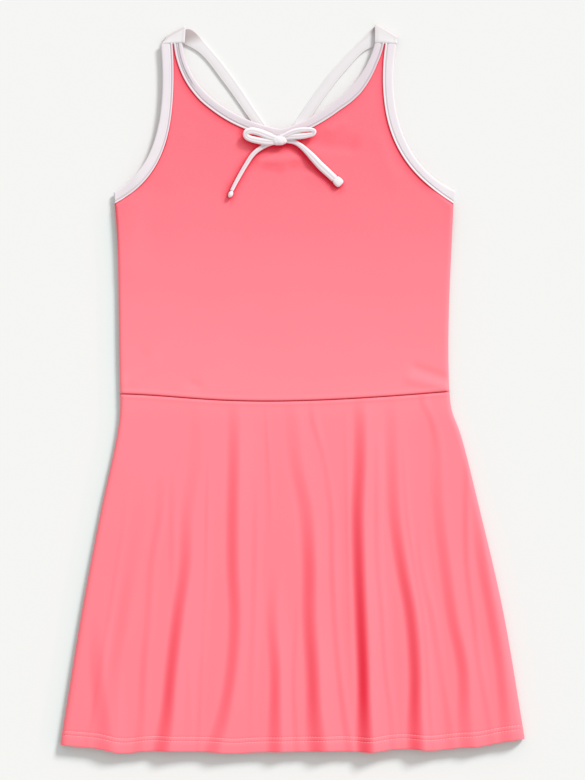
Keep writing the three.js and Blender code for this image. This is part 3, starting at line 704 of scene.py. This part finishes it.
side_left, side_right = cubic("side_left"), cubic("side_right")
TUCK = 2.2                  # coral that reaches under a binding
LOW_TUCK = 0.9              # the same near the underarms
TIP_TAPER = 0.045           # share of an outline over which the tuck fades at the shoulders
UNDERARM_TAPER = 0.1        # the same at the underarms
DEEPENING = 0.25            # share of an armhole at which LOW_TUCK ends, and over which it turns into TUCK


def tucked(name, sign):
    """Armhole outline moved out under its binding, from nothing at the underarm and at the shoulder."""
    def reach(t):
        full = mix(LOW_TUCK, TUCK, smooth_step((t - DEEPENING) / DEEPENING))
        return sign * full * smooth_step(t / UNDERARM_TAPER) * smooth_step((1 - t) / TIP_TAPER)
    return sideways(cubic(name), reach)


# Easing of the neckline's corner, in points of 601 along it: reach and half width of the mean's weights
EASE_REACH, EASE_WIDTH = 30, 14
EASE_SHARE = 0.09           # half width of the eased part, as a share of the neckline


def rounded_neckline():
    """The neckline's two halves, with the corner between them eased: near the middle each point is the
    bell-weighted mean of its neighbours."""
    t = np.linspace(0, 1, 601)
    line = chained(cubic("neck_left"), cubic("neck_right"), 0.5)(t)
    weight = bell(np.arange(-EASE_REACH, EASE_REACH + 1), EASE_WIDTH)
    weight /= weight.sum()
    padded = np.pad(line, ((EASE_REACH, EASE_REACH), (0, 0)), mode="edge")
    eased = np.stack([np.convolve(padded[:, k], weight, mode="valid") for k in (0, 1)], axis=1)
    near = np.exp(-(((t - 0.5) / EASE_SHARE) ** 4))[:, None]
    return measured(mix(line, eased, near))


waist = cubic("waist")
neckline = rounded_neckline()


def waist_gap(v):
    """Step in plan away from the waist line: WAIST_LIFT at the line and nothing at the panel's far end."""
    return np.stack([np.zeros_like(v), WAIST_LIFT * (1 - v)], axis=-1)


def bodice_crown(u, v):
    toward_shoulder = smooth_step((v - UNDERARM) / (1 - UNDERARM))
    return BODICE_CROWN - SHOULDER_DROP * (2 * u - 1) ** 2 * toward_shoulder


def closed_at(v):
    """How far the bodice's edge is a closed side seam, 1, or lifts as the armhole's edge, 0."""
    return 1 - smooth_step((v - UNDERARM) / (1 - UNDERARM) / ARMHOLE_RISE)


SEAM_SHADOW_WIDTH = 0.62           # half width of the painted shadow line in the waist seam
# Beside a sewn seam: height, distance and half width of the puff, and depth and half width of the roll
PUFF, PUFF_AT, PUFF_WIDTH = 0.3, 2.8, 1.6
ROLL, ROLL_WIDTH = 1.2, 0.7


def waist_distance(x, y):
    """Distance up or down from the waist line, by the line's height at the same place across."""
    line = waist(np.linspace(0, 1, 200))
    return np.abs(y - np.interp(x, line[:, 0], line[:, 1]))


def seam_roll(away):
    """Height beside a sewn seam: the cloth puffs a little and then rolls down into the seam."""
    return PUFF * bell(away - PUFF_AT, PUFF_WIDTH) - ROLL * bell(away, ROLL_WIDTH)


tucked_neck = sideways(neckline, lambda t: TUCK * smooth_step(np.minimum(t, 1 - t) / TIP_TAPER))
bodice_patch = patch(waist, tucked_neck, chained(side_left, tucked("armhole_left", 1), UNDERARM),
                     chained(side_right, tucked("armhole_right", -1), UNDERARM))


def bodice_place(u, v):
    return bodice_patch(u, v) + waist_gap(v)


def bodice_top(x, y, u, v):
    return bodice_crown(u, v) + bell_ridges(x, y, BODICE_CREASES) + seam_roll(waist_distance(x, y))


def armhole_seam_shadow(x, y):
    """Painted shadow along the sewn line of the armholes: exp(-(distance / 0.8 mm)^2), weaker towards the
    shoulders."""
    t = np.linspace(0, 1, 500)
    shade = np.zeros(x.shape)
    for name in ("armhole_left", "armhole_right"):
        line = cubic(name)(t)
        away = np.hypot(x[..., None] - line[:, 0], y[..., None] - line[:, 1])
        fade = 1 - 0.7 * smooth_step((t[away.argmin(axis=-1)] - 0.4) / 0.3)
        shade = np.maximum(shade, fade * bell(away.min(axis=-1), 0.8))
    return shade


def coral_panel(node, grid, seam=0.0, crease=0.0, flip=False):
    """A panel of coral knit with two painted shades: a painted shadow near a sewn seam, and painted shade on
    the side of a fold away from the light.
    """
    x, y = grid[..., 0], grid[..., 1]
    seam = np.maximum(bell(waist_distance(x, y), SEAM_SHADOW_WIDTH), seam)
    return grid_piece(f"{node}_cloth", grid, CORAL, flip=flip, replaced=[node], slot="coral_knit",
                      wall=KNIT, crease=np.broadcast_to(crease, x.shape), seam=seam)


NEAR_WAIST = np.array([0, 0.3, 0.7, 1.1, 1.6, 2.2, 3.0, 3.8, 4.8, 6.0, 7.6])
BODICE_LENGTH = 290.0
TURNED_IN = np.array([0, 0.05, -0.9])       # from the bodice's waist edge to the row turned in under it


def front_bodice():
    """Front bodice: the patch between waist, neckline and sides, dense near the waist seam."""
    v = np.concatenate([NEAR_WAIST / BODICE_LENGTH, np.linspace(0.034, 1, 150)])
    edge = mix(bodice_crown(0 * v, v), FRONT_EDGE, closed_at(v))
    width = mix(WAIST_WIDTH, NECK_WIDTH, v)
    grid = panel_grid(bodice_place, bodice_top, edge, BODICE_ROUND, width, v, 170)
    grid = np.concatenate([grid[:1] + TURNED_IN, grid])
    return coral_panel("front_bodice", grid, seam=armhole_seam_shadow(grid[..., 0], grid[..., 1]))


hem_line = cubic("hem")


def hem(t):
    """The hem's cubic, dropped by a bell at each place where a fold swings it out."""
    flat = hem_line(t)
    drop = sum(d * bell(flat[..., 0] - x, w) for x, d, w in HEM_SWINGS)
    return flat - np.stack([np.zeros_like(drop), drop], axis=-1)


skirt_patch = patch(waist, hem, through(SKIRT_LEFT), through(SKIRT_RIGHT))
SKIRT_LENGTH = 342.0
HEM_TURN = 1.0              # outer radius of the hem's fold
HEM_ROWS = (10.0, 14.0)     # the two needles' rows above the edge
# Relief of the hem: distance above the edge, height and half width of each ridge, or dent where negative
HEM_RIDGES = [(10, -0.4, 0.8), (14, -0.4, 0.8), (12, 0.2, 1.2), (5, 0.2, 4)]
TURN_UP = np.array([2.5, 4, 6, 8, 9, 10, 11, 12, 13, 14, 15, 16.5])


def skirt_place(u, v):
    return skirt_patch(u, v) - waist_gap(v)


def hem_relief(v):
    """Above the edge the two rows of stitches pull the cloth in, and it stands up between them."""
    up = (1 - v) * SKIRT_LENGTH
    return sum(height * bell(up - at, width) for at, height, width in HEM_RIDGES)


def skirt_top(x, y, u, v):
    relief = folds(x, y, FOLDS + FINE_FOLDS) + seam_roll(waist_distance(x, y)) + hem_relief(v)
    return mix(BODICE_CROWN, HEM_CROWN, v) + relief


def skirt_rows(count):
    """Places of a skirt panel's rows, 0 at the waist and 1 at the hem, close together near both."""
    near_hem = 1 - np.append(TURN_UP[::-1], HEM_TURN) / SKIRT_LENGTH
    between = np.linspace(0.028, near_hem[0] - 0.004, count)
    return np.concatenate([NEAR_WAIST / SKIRT_LENGTH, between, near_hem])


def turned_hem(grid, outward):
    """The panel's cloth turned round its lower edge and up inside: a half circle about a line one radius
    inside the edge, and then rows two radii under the outer face."""
    normal = grid_normals(grid) * outward
    down = unit_length(grid[-1] - grid[-2])
    a = np.linspace(0, np.pi, 9)[1:, None, None]
    middle = grid[-1] - normal[-1] * HEM_TURN
    roll = middle + HEM_TURN * (normal[-1] * np.cos(a) + down * np.sin(a))
    back = np.arange(2, len(TURN_UP) - 1)
    inside = grid[-back] - normal[-back] * 2 * HEM_TURN
    return np.concatenate([grid, roll, inside])


def crease_shade_amount(x, y):
    """Amount of painted shade on the side of a fold turned away from the light: the slope of the steps less
    0.02, held from 0 to 1, to the power 1.2."""
    rows = FOLDS + FINE_FOLDS
    slope = folds(x + 0.5, y, rows, False) - folds(x - 0.5, y, rows, False)
    return np.clip(slope - 0.02, 0, 1) ** 1.2


def front_skirt():
    v = skirt_rows(122)
    grid = panel_grid(skirt_place, skirt_top, FRONT_EDGE, mix(BODICE_ROUND, HEM_ROUND, v),
                      mix(WAIST_WIDTH, HEM_WIDTH, v), v, 250)
    full = turned_hem(np.concatenate([grid[:1] + TURNED_IN * [1, -1, 1], grid]), -1)
    # Painted shade on the side of each fold away from the light
    crease = crease_shade_amount(full[..., 0], full[..., 1])
    return coral_panel("front_skirt", full, crease=crease, flip=True), grid, v


def back_height(x, y, u, v):
    """Underside of the back: flat on the floor but for low troughs, and drawn up into the waist seam."""
    return REST + bell_ridges(x, y, BACK_CREASES) + 0.5 * bell(waist_distance(x, y), 1.2)


def back_panels():
    """Back bodice and back skirt, whose outer faces are the undersides, with sides drawn up to the seams."""
    back_patch = patch(waist, cubic("back_top"), side_left, side_right)
    v = np.concatenate([np.array([0, 0.6, 1.2, 2, 3.2, 5]) / 185, np.linspace(0.05, 1, 70)])
    bodice = panel_grid(lambda u, w: back_patch(u, w) + waist_gap(w), back_height, BACK_EDGE, BACK_ROUND,
                        WAIST_WIDTH, v, 130, 5)
    rows = skirt_rows(90)
    skirt = panel_grid(skirt_place, back_height, BACK_EDGE, BACK_ROUND, mix(WAIST_WIDTH, HEM_WIDTH, rows),
                       rows, 170, 5)
    bodice_piece = coral_panel("back_bodice", bodice, flip=True)
    return bodice_piece, coral_panel("back_skirt", turned_hem(skirt, 1)), skirt, rows


front_bodice_piece = front_bodice()
front_skirt_piece, skirt_grid, skirt_v = front_skirt()
back_bodice_piece, back_skirt_piece, back_grid, back_v = back_panels()


# Bindings

# Section of a binding folded over the coral's edge: millimetres from that edge towards the free edge of
# a binding 12 wide, and millimetres above the coral's face
SECTION_WIDTH = 12.0
BAND_SECTION = [
    (-1.5, -1.3), (1.5, -1.35), (4.5, -1.2), (9, -1.1), (10.8, -1.05), (11.65, -0.8),
    (12, -0.3), (11.7, 0.2), (10.9, 0.48), (9, 0.55), (4.2, 0.5), (2.9, 0.4),
    (2.2, 0.15), (1.8, 0.12), (1.4, 0.45), (0.8, 0.78), (0.1, 0.82), (-0.5, 0.6), (-0.75, 0.25), (-0.7, 0.02),
]
STITCH_LINE, STITCH_SHADE = 2.0, 0.5    # the line of stitches from the coral's edge, and the half width of the painted shade along it
EDGE_SHARE = 0.2            # the part of the cloth over the coral's edge that is kept


def band_grid(edge, free, height, count, section):
    """Sweeps the section along a binding: across, a point lies on the straight line from the coral's edge
    to the free edge, with the section's middle stretched to the width there, and up, it stands on the
    height given along the edge."""
    t = np.linspace(0, 1, count)
    profile = smooth_points(section, 2)
    low, high = edge(t), free(t)
    width = np.linalg.norm(high - low, axis=1)[:, None]
    over = np.where(profile[:, 0] < 0, EDGE_SHARE, 1.0)
    across = profile[:, 0] * over + (width - SECTION_WIDTH) * smooth_step((profile[:, 0] - 4) / 4)
    flat = low[:, None] + (high - low)[:, None] * (across / width)[..., None]
    z = height(t)[:, None] + profile[:, 1]
    return np.concatenate([flat, z[..., None]], axis=2), across


def armhole_height(t):
    v = mix(UNDERARM, 1, t)
    return mix(bodice_crown(0 * v, v), UNDERARM_BAND, closed_at(v))


def neck_height(t):
    return bodice_crown(t, 1 + 0 * t)


def binding(node, edge, free, height, count, flip, material=BINDING, section=BAND_SECTION):
    grid, across = band_grid(edge, free, height, count, section)
    # Painted shade along the line of stitches, through the groove value
    piece = grid_piece(f"{node}_cloth", grid, material, flip=flip, replaced=[node], slot="white_binding",
                       wall=FOLDED, groove=bell(across - STITCH_LINE, STITCH_SHADE))
    return piece, grid


armhole_left, armhole_right = cubic("armhole_left"), cubic("armhole_right")
band_left, band_right = cubic("band_left"), cubic("band_right")
# How far the bindings' edges lie from the outlines, away from the coral
NECK_SHIFT = ((-116, -112, -102, -89, -78, -60, 0, 45, 56, 64, 70, 76, 82, 89),
              (1.2, 1.2, 0.6, 0.1, 0.3, 0, 0, -0.2, -1.4, -1.9, -1.4, -0.6, 0.4, 0.5))
LEFT_SHIFT = ((0, 0.5, 0.7, 0.9, 1), (0, 0.2, 0.4, 0.4, 0.7))
RIGHT_SHIFT = ((0, 0.4, 0.7, 0.9, 1), (0, 0.7, 1.0, 0.9, 1.1))
neck_edge = sideways(neckline, lambda t: np.interp(neckline(t)[..., 0], *NECK_SHIFT))
edge_left = sideways(armhole_left, lambda t: np.interp(t, *LEFT_SHIFT))
edge_right = sideways(armhole_right, lambda t: -np.interp(t, *RIGHT_SHIFT))
neck_free = sideways(neckline, NECK_BAND_WIDTH)
bind_left, grid_left = binding("armhole_binding_left", edge_left, band_left, armhole_height, 130, False)
bind_right, grid_right = binding("armhole_binding_right", edge_right, band_right, armhole_height, 130, True)
bind_neck, grid_neck = binding("neck_binding", neck_edge, neck_free, neck_height, 200, False, NECK_CLOTH)

# The back binding lies with its outer face down
BACK_BAND_SECTION = [
    (-1.0, 1.0), (1.5, 1.1), (9, 1.1), (11, 1.05), (11.8, 0.85), (12, 0.6), (11.75, 0.3),
    (11, 0.12), (9, 0.1), (3.4, 0.1), (2.6, 0.2), (2.0, 0.35), (1.5, 0.2), (0.8, 0.08), (0.0, 0.12),
    (-0.4, 0.3),
]
back_line = cubic("back_top")
BACK_BAND_LIFT = 1.3        # at its two ends, in the side seams


def back_band_height(t):
    """Level but for its two ends, each a bell high."""
    return BACK_BAND_LIFT * (bell(t, 0.016) + bell(1 - t, 0.016))


back_edge, back_free = sideways(back_line, 0.3), sideways(back_line, BACK_BAND_WIDTH)
bind_back, _ = binding("back_binding", back_edge, back_free, back_band_height, 120, True,
                       section=BACK_BAND_SECTION)


# Straps

STRAP_HALF = 0.62           # half the thickness of the flat folded strap
STRAP_TURN = 1.9            # radius of its fold over the shoulder
STRAP_PLY = 0.15            # one of the strap's two layers
RISE_ROWS, TURN_ROWS = 9, 14
FOLD_ROW = RISE_ROWS + TURN_ROWS // 2       # the row of a strap's grid in the middle of its fold
CROSSING_Y, CROSSING_FLAT, CROSSING_FADE = 228.0, 21.0, 14.0
STRAP_LOW = 0.90            # height of a strap's middle where it lies on the floor
SEAM_LIFT = 0.42            # its end stands this much higher, over the ends of the bindings
STRAP_SEAM = 2.2            # its seams from its edges
STRAP_PUFF = 0.12           # how much its middle swells
SEAM_DIP, SEAM_DIP_WIDTH = 0.1, 0.6
# Painted shade on a strap: along its seams, on its two rounded edges, and on the rows just before its fold
STRAP_SEAM_SHADE, STRAP_EDGE_SHADE, STRAP_FOLD_SHADE = 0.25, 0.35, 0.5
# Each strap by its ends at the shoulder seam and at the fold, inner then outer, and its two edges from the
# fold down the back. Crossing is its lift over the other; shade, how far past the fold its painted shadow
# stays full, and over how much more it fades.
STRAPS = {
    "left": {
        "seam": ((-104.4, 333.3), (-127.0, 333.1)), "fold": ((-104.4, 349.6), (-123.6, 339.4)),
        "inner": [(-98.4, 347.6), (-77.5, 326.5), (-57.8, 301.4), (-33.4, 265.5), (-9.5, 231), (14.5, 196.1)],
        "outer": [(-117.5, 337.4), (-91.6, 326), (-67.7, 297.5), (-43.9, 264.1), (-21.5, 231), (-0.5, 196.1)],
        "crossing": 0.0, "shade": (13.0, 14.0),
    },
    "right": {
        "seam": ((79.6, 333.3), (101.0, 333.1)), "fold": ((80.7, 352), (101.6, 339.4)),
        "inner": [(74.5, 345.8), (61, 332), (38, 307.5), (13, 273.5), (-13.5, 233.5), (-41.5, 196.1)],
        "outer": [(95.5, 334.6), (72.5, 328.4), (51.6, 308), (26.5, 275.5), (0.5, 233.5), (-27, 196.1)],
        "crossing": 1.6, "shade": (3.0, 11.0),
    },
}


def strap_edge(strap, side, route, away):
    """One edge of a strap: level from the shoulder seam to the fold, a half circle of STRAP_TURN round the
    fold, and then down the back, lifted where it crosses the other. Gives points and their outward sides."""
    seam, fold = np.array(strap["seam"][side]), np.array(strap["fold"][side])
    start = fold - away * STRAP_TURN
    climb = np.linspace(0, 1, RISE_ROWS)
    lifted = STRAP_LOW + 2 * STRAP_TURN + SEAM_LIFT * (1 - smooth_step(climb / 0.8))
    rise = np.column_stack([mix(seam, start, climb[:, None]), lifted])
    a = np.linspace(0, np.pi, TURN_ROWS + 1)[1:, None]
    turn = np.column_stack([start + away * STRAP_TURN * np.sin(a), STRAP_LOW + STRAP_TURN * (1 + np.cos(a))])
    back = through([tuple(start), *route])(np.linspace(0, 1, 110)[1:])
    near = 1 - smooth_step((np.abs(back[:, 1] - CROSSING_Y) - CROSSING_FLAT) / CROSSING_FADE)
    back = np.column_stack([back, STRAP_LOW + strap["crossing"] * near])
    up = np.concatenate([np.tile([0, 0, 1.0], (RISE_ROWS, 1)), np.column_stack([away * np.sin(a), np.cos(a)]),
                         np.tile([0, 0, -1.0], (len(back), 1))])
    return np.concatenate([rise, turn, back]), up


def strap_piece(side):
    """Strap as a flat tube of cloth: its section runs over the outer face, round one edge, back over the
    inner face and round the other edge."""
    strap = STRAPS[side]
    (ax, ay), (bx, by) = strap["fold"]
    run = unit_length(np.array([bx - ax, by - ay]))
    away = np.array([run[1], -run[0]])
    away = away * np.sign(away[1])
    inner, up = strap_edge(strap, 0, strap["inner"], away)
    outer, _ = strap_edge(strap, 1, strap["outer"], away)
    width = np.linalg.norm(outer - inner, axis=1)[:, None]
    r = STRAP_HALF
    flat = np.linspace(0, 1, 13)[None, :]
    arc = np.linspace(0, np.pi, 7)[None, 1:-1]
    face = r + (width - 2 * r) * flat
    dips = bell(face - STRAP_SEAM, SEAM_DIP_WIDTH) + bell(width - face - STRAP_SEAM, SEAM_DIP_WIDTH)
    pillow = STRAP_PUFF * np.sin(np.pi * flat) - SEAM_DIP * dips
    round_edge = r * np.sin(arc) + 0 * width
    edge_lift = r * np.cos(arc) + 0 * width
    across = np.concatenate([face, width - r + round_edge, face[:, ::-1], r - round_edge], axis=1)
    lift = np.concatenate([r + pillow, edge_lift, -(r + pillow[:, ::-1]), -edge_lift], axis=1)
    lift[[0, -1]] *= 0.02       # pressed shut at both ends
    share = across / width
    grid = inner[:, None] + (outer - inner)[:, None] * share[..., None] + up[:, None] * lift[..., None]
    # Painted shade on the strap in its groove values, and a painted shadow past the fold that fades down the
    # back
    groove = STRAP_SEAM_SHADE * bell(np.minimum(across, width - across) - STRAP_SEAM, 0.4)
    groove = np.maximum(groove, STRAP_EDGE_SHADE * (np.abs(lift) < 0.8 * r))
    groove[FOLD_ROW - 7:FOLD_ROW] = STRAP_FOLD_SHADE
    run_on = run_lengths((inner + outer)[FOLD_ROW:] / 2)
    full, fade = strap["shade"]
    groove[FOLD_ROW:] = np.maximum(groove[FOLD_ROW:], 1 - smooth_step((run_on - full) / fade)[:, None])
    return grid_piece(f"strap_{side}_cloth", grid, STRAP_CLOTH, wrap=True, flip=side == "right",
                      replaced=[f"strap_{side}"], slot="white_binding", wall=STRAP_PLY, groove=groove)


strap_left, strap_right = strap_piece("left"), strap_piece("right")


# Stitches


def capsule(length, radius):
    """One stitch along x: rings of six points whose radius is that of a rounded rod."""
    x = np.array([-0.5, -0.42, -0.2, 0.2, 0.42, 0.5]) * length
    r = radius * np.array([0.15, 0.75, 1, 1, 0.75, 0.15])
    a = np.arange(6) / 6 * 2 * np.pi
    ring = np.stack([np.zeros(6), np.cos(a), np.sin(a)], axis=-1)
    points = ring[None] * r[:, None, None] + np.stack([x, 0 * x, 0 * x], axis=-1)[:, None]
    faces = grid_faces(6, 6, wrap=True)
    ends = np.array([[0, 5, 4, 3], [0, 3, 2, 1], [30, 31, 32, 33], [30, 33, 34, 35]])
    return points.reshape(-1, 3), np.vstack([faces, ends])


def stitch_rows(name, lines, material, pitch=2.9, length=2.3, radius=0.17, slot=None):
    """Rows of stitches as one mesh: a rod at each step of pitch along each line, turned to the line's run."""
    shape, shape_faces = capsule(length, radius)
    places, runs = [], []
    for line in lines:
        total = run_lengths(line)[-1]
        read = measured(line)
        t = (np.arange(int(total / pitch)) + 0.5) * pitch / total
        places.append(read(t))
        runs.append(run_of(read, t))
    place, run = np.concatenate(places), np.concatenate(runs)
    side = unit_length(np.cross([0, 0, 1.0], run))
    axes = np.stack([run, side, np.cross(run, side)], axis=1)
    points = place[:, None] + np.einsum("pk,nkd->npd", shape, axes)
    faces = shape_faces[None] + (np.arange(len(place)) * len(shape))[:, None, None]
    uv = np.zeros((points.shape[0] * points.shape[1], 2))
    return make_piece(name, points.reshape(-1, 3), faces.reshape(-1, 4), uv, material, slot=slot)


def row_above_hem(grid, v, up, sink):
    """The line on a skirt panel that lies a distance above its hem, without the panel's outermost points."""
    row = np.argmin(np.abs((1 - v) * SKIRT_LENGTH - up))
    return grid[row][6:-6] + [0, 0, sink]


hem_front = stitch_rows("hem_stitches_front", [row_above_hem(skirt_grid, skirt_v, r, 0.05) for r in HEM_ROWS],
                        CORAL_THREAD, radius=0.24, slot="coral_knit")
hem_back = stitch_rows("hem_stitches_back", [row_above_hem(back_grid, back_v, r, 0.08) for r in HEM_ROWS],
                       CORAL_THREAD, slot="coral_knit")


def band_row(grid, across, sink):
    """The line of a binding's grid whose distance from the coral's edge is nearest to the one given, on the
    upper face."""
    width = np.linalg.norm(grid[:, :, :2] - grid[:, :1, :2], axis=2)[len(grid) // 2] - 1.5
    upper = np.arange(grid.shape[1]) > grid.shape[1] // 2
    column = np.argmin(np.where(upper, np.abs(width - across), 1e9))
    return grid[2:-2, column] + [0, 0, sink]


binding_lines = [band_row(grid, STITCH_LINE, 0.1) for grid in (grid_left, grid_right, grid_neck)]
binding_stitches = stitch_rows("binding_stitches", binding_lines, WHITE_THREAD, 2.6, 2.0, 0.16,
                               slot="white_binding")

# Floor and light

FLOOR_HALF = 6.0
floor_mesh = bpy.data.meshes.new("floor")
corner = FLOOR_HALF * np.array([(-1, -1, 0), (1, -1, 0), (1, 1, 0), (-1, 1, 0)])
floor_mesh.from_pydata(corner.tolist(), [], [(0, 1, 2, 3)])
floor_mesh.materials.append(floor_paper())
floor = bpy.data.objects.new("floor", floor_mesh)
bpy.context.scene.collection.objects.link(floor)

SUN_HEIGHT = np.radians(28)
SUN_FROM = np.array(LIGHT_SIDE) * np.cos(SUN_HEIGHT) + [0, 0, np.sin(SUN_HEIGHT)]
sun_data = bpy.data.lights.new("key", "SUN")
sun_data.energy, sun_data.angle = 2.75, np.radians(14)
sun = bpy.data.objects.new("key", sun_data)
sun.rotation_mode = "QUATERNION"
sun.rotation_quaternion = Vector(SUN_FROM).to_track_quat("Z", "Y")
bpy.context.scene.collection.objects.link(sun)

world = bpy.data.worlds.new("soft_studio")
world.use_nodes = True
bpy.context.scene.world = world
background = world.node_tree.nodes["Background"]
background.inputs[0].default_value = (1.0, 1.0, 1.0, 1.0)
background.inputs[1].default_value = 0.605
